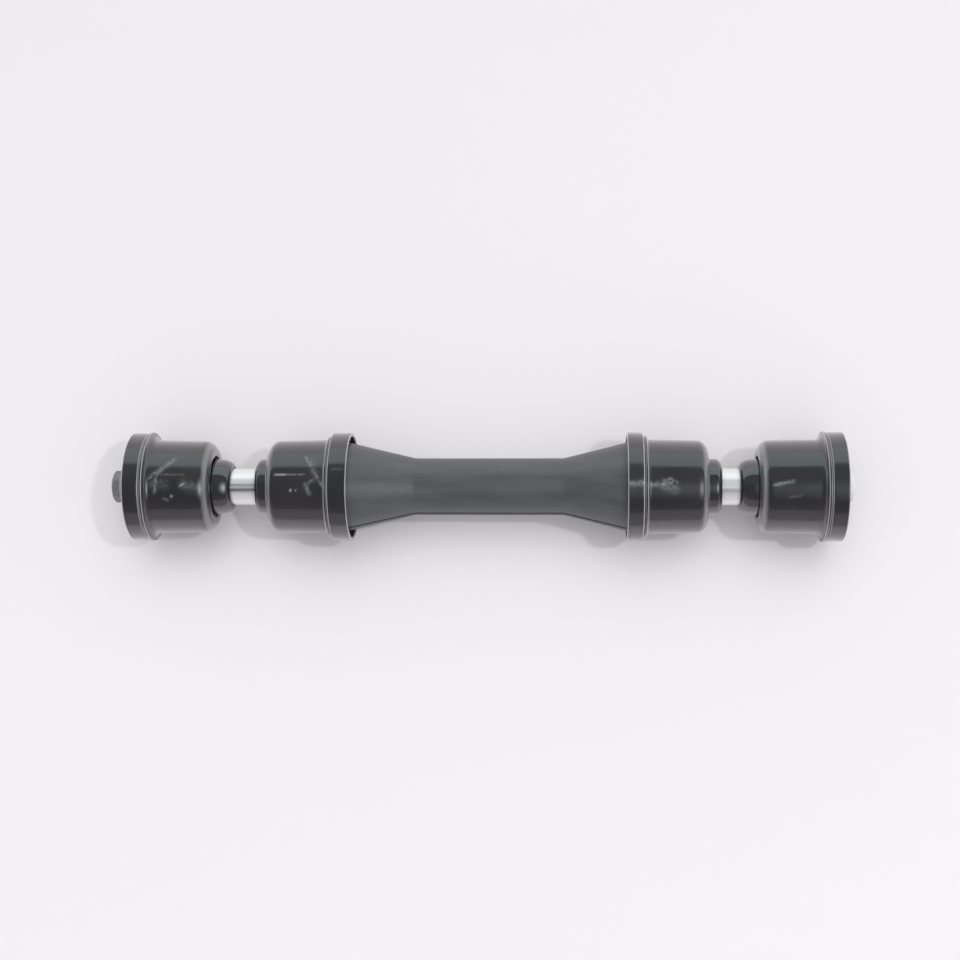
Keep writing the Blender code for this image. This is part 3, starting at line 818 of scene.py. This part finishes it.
# %% [markdown]
# ## Through bolt
# The bolt is forged, then its thread is rolled, so head, shank and thread are one surface here
# too: rows from the tip, through the thread, which fades out into the shank, to the collar and
# the head. The end is cut to a cone, and only the pale, threaded rows carry the pale attribute.

# %% Bolt
HEAD_ACROSS_FLATS = 14.0
HEAD_HEX_HEIGHT = 4.0
HEAD_COLLAR_HEIGHT = 2.4
HEAD_ROLL = np.radians(4)    # how the head happens to lie
HEAD_FILLET = 0.4
COLLAR_EDGE = 0.3
THREAD_LENGTH = 26.0
THREAD_ROWS = 12             # to a pitch
THREAD_WEAR = 0.4
POINT_CUT = 1.0              # how much thinner the very end is
POINT_SLOPE = 1.2

bolt_low, bolt_high, collar_radius = reach("hex_bolt")
thread_start = bolt_high - THREAD_LENGTH
along = np.arange(bolt_high - 0.02, thread_start, -THREAD_PITCH / THREAD_ROWS)[:, None]
fade = np.clip((along - thread_start) / (2 * THREAD_PITCH), 0, 1)
point = np.clip(SHANK_RADIUS - POINT_CUT + (bolt_high - along) * POINT_SLOPE, 0, SHANK_RADIUS)
radius = SHANK_RADIUS + (thread_radius(along) - SHANK_RADIUS) * fade
thread = around(along, np.minimum(radius, point), ANGLES)

collar_low = bolt_low + HEAD_HEX_HEIGHT
collar_high = collar_low + HEAD_COLLAR_HEIGHT
plain = spaced(np.array([
    (thread_start, SHANK_RADIUS, 0), (collar_high + HEAD_FILLET, SHANK_RADIUS, 0),
    (collar_high, SHANK_RADIUS + HEAD_FILLET, 0), (collar_high, collar_radius - COLLAR_EDGE, 0),
    (collar_high - COLLAR_EDGE, collar_radius, 1), (collar_low + COLLAR_EDGE, collar_radius, 1),
    (collar_low, collar_radius - COLLAR_EDGE, 0)]), COARSE_SPACING, loop=False)
six = hexagon_radius(HEAD_ACROSS_FLATS, HEAD_ROLL)
half_width = HEAD_ACROSS_FLATS / 2
chamfer = bolt_low + (six - half_width) * np.tan(HEX_CHAMFER)
rest, rest_wear = rows_round([
    *plain, (collar_low, six - 0.02, 0), (chamfer + 0.3, six, 0.2),
    (chamfer + 0.08, six - 0.04, 1), (bolt_low + 0.04, half_width - 0.12, 0.6),
    (bolt_low, half_width - 0.35, 0)])
edge_wear_and_highlight = np.vstack([np.full((len(along), 1), THREAD_WEAR), rest_wear])
bolt = skin("hexagon_head_bolt", np.vstack([thread, rest]), edge_wear_and_highlight, loop=False)
store(bolt.data, "pale", np.repeat(np.arange(len(edge_wear_and_highlight)) < len(along), ROUND))
dress(bolt, STEEL, "bolt", "hex_bolt")

# %% [markdown]
# ## Lock nut
# A lock nut is a hexagon with a round collar on top. A nylon ring is pressed into the collar and
# held by its rolled-in lip; the bolt cuts its thread into the ring, which then grips. The nut's
# outline runs round its whole section: lip, collar, hexagon, foot and bore, and the recess for
# the ring. Only the rows of the hexagon and its chamfers change round the axis.

# %% Nut and its ring
NUT_ACROSS_FLATS = 16.0
NUT_ROLL = np.radians(11)
NUT_HEX_HEIGHT = 5.4
NUT_COLLAR_RADIUS = 7.4
NUT_RECESS_RADIUS = 6.8
NUT_LIP_RADIUS = 6.0
NUT_LIP = 0.6
INSERT_EDGE = 0.25

nut_low, nut_high, _ = reach("lock_nut")
hex_high = nut_low + NUT_HEX_HEIGHT
six = hexagon_radius(NUT_ACROSS_FLATS, NUT_ROLL)
half_width = NUT_ACROSS_FLATS / 2
chamfer = (six - half_width) * np.tan(HEX_CHAMFER)
grid, edge_wear_and_highlight = rows_round([
    (nut_high, NUT_LIP_RADIUS, 0), (nut_high, NUT_COLLAR_RADIUS - 0.5, 0),
    (nut_high - 0.2, NUT_COLLAR_RADIUS - 0.1, 1), (nut_high - 0.6, NUT_COLLAR_RADIUS, 0),
    (hex_high + 0.2, NUT_COLLAR_RADIUS, 0), (hex_high, NUT_COLLAR_RADIUS + 0.2, -1),
    (hex_high - chamfer - 0.06, six - 0.04, 1), (hex_high - chamfer - 0.30, six, 0.2),
    (nut_low + chamfer + 0.30, six, 0.2), (nut_low + chamfer + 0.06, six - 0.04, 1),
    (nut_low, half_width - 0.3, 0), (nut_low, HOLE_RADIUS + 0.5, 0),
    (nut_low + 0.5, HOLE_RADIUS, 0), (hex_high, HOLE_RADIUS, 0),
    (hex_high, NUT_RECESS_RADIUS, 0), (nut_high - NUT_LIP, NUT_RECESS_RADIUS, 0),
    (nut_high - NUT_LIP, NUT_LIP_RADIUS, 0)])
nut = skin("prevailing_torque_nut", grid, edge_wear_and_highlight)
store(nut.data, "pale", np.ones(grid.shape[:2]))
dress(nut, STEEL, "nut", "lock_nut")

low, high, radius = reach("nut_insert")
nylon_ring = turned("nylon_ring", ring(low, high, radius, HOLE_RADIUS, INSERT_EDGE))
dress(nylon_ring, NYLON, "nut", "nut_insert")

# %% [markdown]
# ## Floor
# The link lies on a pale matt table. The floor touches the flanges, which are the widest part.
# It is one large face, whose edges lie far outside the photograph's view. A curved backdrop
# would also hide the horizon from the side, but the light would no longer come in low. The
# table has no gloss at all. Light is painted into its colour, a little lighter towards -Y as in
# the photograph, and a slow noise keeps it from looking drawn.

# %% Floor
FLOOR_EDGE = 3000.0          # mm from the middle
PAINTED_LIGHT_EDGE = 240 * MM         # where the change of tone ends, on either side
TABLE_CLOUD = 120            # mm

floor_level = CAD_BOUNDS[0][2] / MM
corners = [(-1, -1), (1, -1), (1, 1), (-1, 1)]
floor_mesh = bpy.data.meshes.new("floor")
floor_mesh.from_pydata([(x * FLOOR_EDGE * MM, y * FLOOR_EDGE * MM, floor_level * MM)
                        for x, y in corners], [], [(0, 1, 2, 3)])
floor = bpy.data.objects.new("floor", floor_mesh)
bpy.context.scene.collection.objects.link(floor)

table, tree, shader = new_material("matt_white_table")
place = add_node(tree, "TexCoord").outputs["Object"]
across = add_node(tree, "SeparateXYZ", {0: place}).outputs["Y"]
# Painted light: the table's colour grows lighter towards -Y.
colour = blended(tree, ramp(tree, across, PAINTED_LIGHT_EDGE, -PAINTED_LIGHT_EDGE), "edeaee", "f4f1f4")
cloud = ramp(tree, noise(tree, TABLE_CLOUD), 0, 1, 0, 0.3)
tree.links.new(blended(tree, cloud, colour, "efecf0"), shader.inputs["Base Color"])
shader.inputs["Roughness"].default_value = 0.9
shader.inputs["Specular IOR Level"].default_value = 0.0
floor_mesh.materials.append(table)
print("floor at", round(floor_level, 2), "mm")

# %% [markdown]
# ## A room for the reflections
# Gloss black shows almost nothing but reflections, so the room matters more than the paint. In
# the photograph pale walls stand on both long sides, and the ceiling between them is dark: that
# is the dark band along the top of every barrel, with a sharp edge on either side. The room
# could be built from boards with lamps behind them, but it is quicker to draw by direction in
# the world. Directions are angles from straight up, towards +Y and towards either end.

# %% The room by direction
FAR_WALL = 1.12              # brightness of the wall towards +Y, and of the ends
NEAR_WALL = 0.55
CEILING = 0.24
CEILING_CORE = 0.19
CEILING_FROM = -58.0         # degrees from straight up, towards +Y
CEILING_TO = 51.0
CEILING_EDGE = 1.2           # half the width of its edges, in degrees
CORE_FROM = -42.0
CORE_TO = 20.0
CORE_EDGE = 5.0
CEILING_END = 65.0           # degrees towards either end
END_EDGE = 2.0

world = bpy.data.worlds.new("room")
bpy.context.scene.world = world
world.use_nodes = True
tree = world.node_tree
direction = add_node(tree, "TexCoord").outputs["Generated"]
x, y, z = add_node(tree, "SeparateXYZ", {0: direction}).outputs
sideways = calculate(tree, "DEGREES", calculate(tree, "ARCTAN2", y, z))
from_middle = calculate(tree, "ABSOLUTE", x)
endways = calculate(tree, "DEGREES", calculate(tree, "ARCTAN2", from_middle, z))
to_the_ends = ramp(tree, endways, CEILING_END - END_EDGE, CEILING_END + END_EDGE, 1, 0)


def overhead(low, high, edge):
    """1 between two angles and short of the ends, falling to 0 over the edge on either side."""
    rise = ramp(tree, sideways, low - edge, low + edge)
    fall = ramp(tree, sideways, high - edge, high + edge, 1, 0)
    return calculate(tree, "MULTIPLY", calculate(tree, "MULTIPLY", rise, fall), to_the_ends)


ceiling = overhead(CEILING_FROM, CEILING_TO, CEILING_EDGE)
core = overhead(CORE_FROM, CORE_TO, CORE_EDGE)
wall = ramp(tree, sideways, CEILING_FROM, CEILING_TO, NEAR_WALL, FAR_WALL)
darker = calculate(tree, "MULTIPLY", ceiling, calculate(tree, "SUBTRACT", CEILING, wall))
level = calculate(tree, "ADD", calculate(tree, "ADD", wall, darker),
                  ramp(tree, core, 0, 1, 0, CEILING_CORE - CEILING))
tint = blended(tree, ramp(tree, sideways, -60, 60), "fdf3ff", "edfcff")
print("the ceiling spans", CEILING_TO - CEILING_FROM, "degrees")

# %% [markdown]
# ## Light from the room
# Mirror-like rays see the room, with one window in it. For the soft light on the table and on
# dull surfaces the world gives a broad glow from above and behind instead, so that the shadow
# stays small and falls in front. One world could serve for both, but then each change to the
# reflections would move the shadows. What the camera itself sees past the table's edge has
# nearly the colour of the table far away, so the horizon hardly shows from the side.

# %% The world's three faces
WINDOW = (3.2, 30.0, -5.0, 28)   # brightness, degrees towards +X and towards +Y, narrowness
SKY = (3.4, 4.0, 25.0, 16)
SKY_FLOOR = 0.57
FAR_TABLE = "e7e5e8"


def glow(brightness, towards_x, towards_y, narrowness):
    """A round glow: the cosine of the angle from its middle, to the power of its narrowness."""
    middle = np.array([np.tan(np.radians(towards_x)), np.tan(np.radians(towards_y)), 1])
    middle = tuple(middle / np.linalg.norm(middle))
    cosine = add_node(tree, "VectorMath", {0: direction, 1: middle}, operation="DOT_PRODUCT")
    ahead = calculate(tree, "MAXIMUM", cosine.outputs["Value"], 0)
    return calculate(tree, "MULTIPLY", calculate(tree, "POWER", ahead, narrowness), brightness)


def background(colour, strength):
    """A world shader of one colour or output, at a strength."""
    return add_node(tree, "Background", {"Color": colour, "Strength": strength}).outputs[0]


room = background(tint, calculate(tree, "ADD", level, glow(*WINDOW)))
sky = background(linear("ffffff"), calculate(tree, "ADD", glow(*SKY), SKY_FLOOR))
seen = background(linear(FAR_TABLE), 1.0)
ray = add_node(tree, "LightPath").outputs
lit = add_node(tree, "MixShader", {0: ray["Is Glossy Ray"], 1: sky, 2: room}).outputs[0]
whole = add_node(tree, "MixShader", {0: ray["Is Camera Ray"], 1: lit, 2: seen}).outputs[0]
tree.links.new(whole, tree.nodes["World Output"].inputs["Surface"])
print("world nodes:", len(tree.nodes))

# %% [markdown]
# ## Lamp
# One lamp on the right casts the second shadow, to the left. A disk lamp of power P lights a
# spot at the distance d, straight ahead, with P / (pi d squared), and a slanting floor with less
# by the cosine, height over d. A white sky lights it with pi. So a share of that light needs the
# power share * pi squared * d squared / cosine. Mirror-like rays don't see the lamp, because the
# room already has all the reflections that the photograph shows.

# %% Lamp
LAMP_PLACE = np.array([0.98, 0.28, 2.0])     # m
LAMP_SIZE = 0.10
LAMP_SHARE = 0.13            # of the light that makes the table white

lamp_data = bpy.data.lights.new("right_lamp", "AREA")
lamp_data.shape = "DISK"
lamp_data.size = LAMP_SIZE
distance = np.linalg.norm(LAMP_PLACE)
cosine = LAMP_PLACE[2] / distance
lamp_data.energy = LAMP_SHARE * np.pi ** 2 * distance ** 2 / cosine
lamp = bpy.data.objects.new("right_lamp", lamp_data)
lamp.location = LAMP_PLACE
lamp.rotation_euler = Vector(LAMP_PLACE).to_track_quat("Z", "Y").to_euler()
lamp.visible_glossy = False
bpy.context.scene.collection.objects.link(lamp)
print("lamp power %.2f W" % lamp_data.energy)

# %% [markdown]
# ## Camera
# The photograph looks straight down, from a place over the sleeve's right end: there the cups
# show neither of their sides. The picture's middle is further left, and the right cups look a
# little larger than the left ones, so the camera is tilted to the left by a few degrees. A lens
# shift would move the middle too, but it would leave all four cups the same size.

# %% Camera
CAMERA_X = 45.0
CAMERA_Y = 3.35
CAMERA_HEIGHT = 780.0
CAMERA_TILT = np.radians(3.285)  # towards -X
SENSOR = 36.0
LENS = 58.84

camera_data = bpy.data.cameras.new("camera")
camera_data.sensor_width = SENSOR
camera_data.lens = LENS
camera = bpy.data.objects.new("camera", camera_data)
camera.location = (CAMERA_X * MM, CAMERA_Y * MM, CAMERA_HEIGHT * MM)
camera.rotation_euler = (0, CAMERA_TILT, 0)
bpy.context.scene.collection.objects.link(camera)
bpy.context.scene.camera = camera
bpy.context.scene.view_settings.view_transform = "Standard"
print("lens %.1f mm, tilt %.1f degrees" % (camera_data.lens, np.degrees(CAMERA_TILT)))
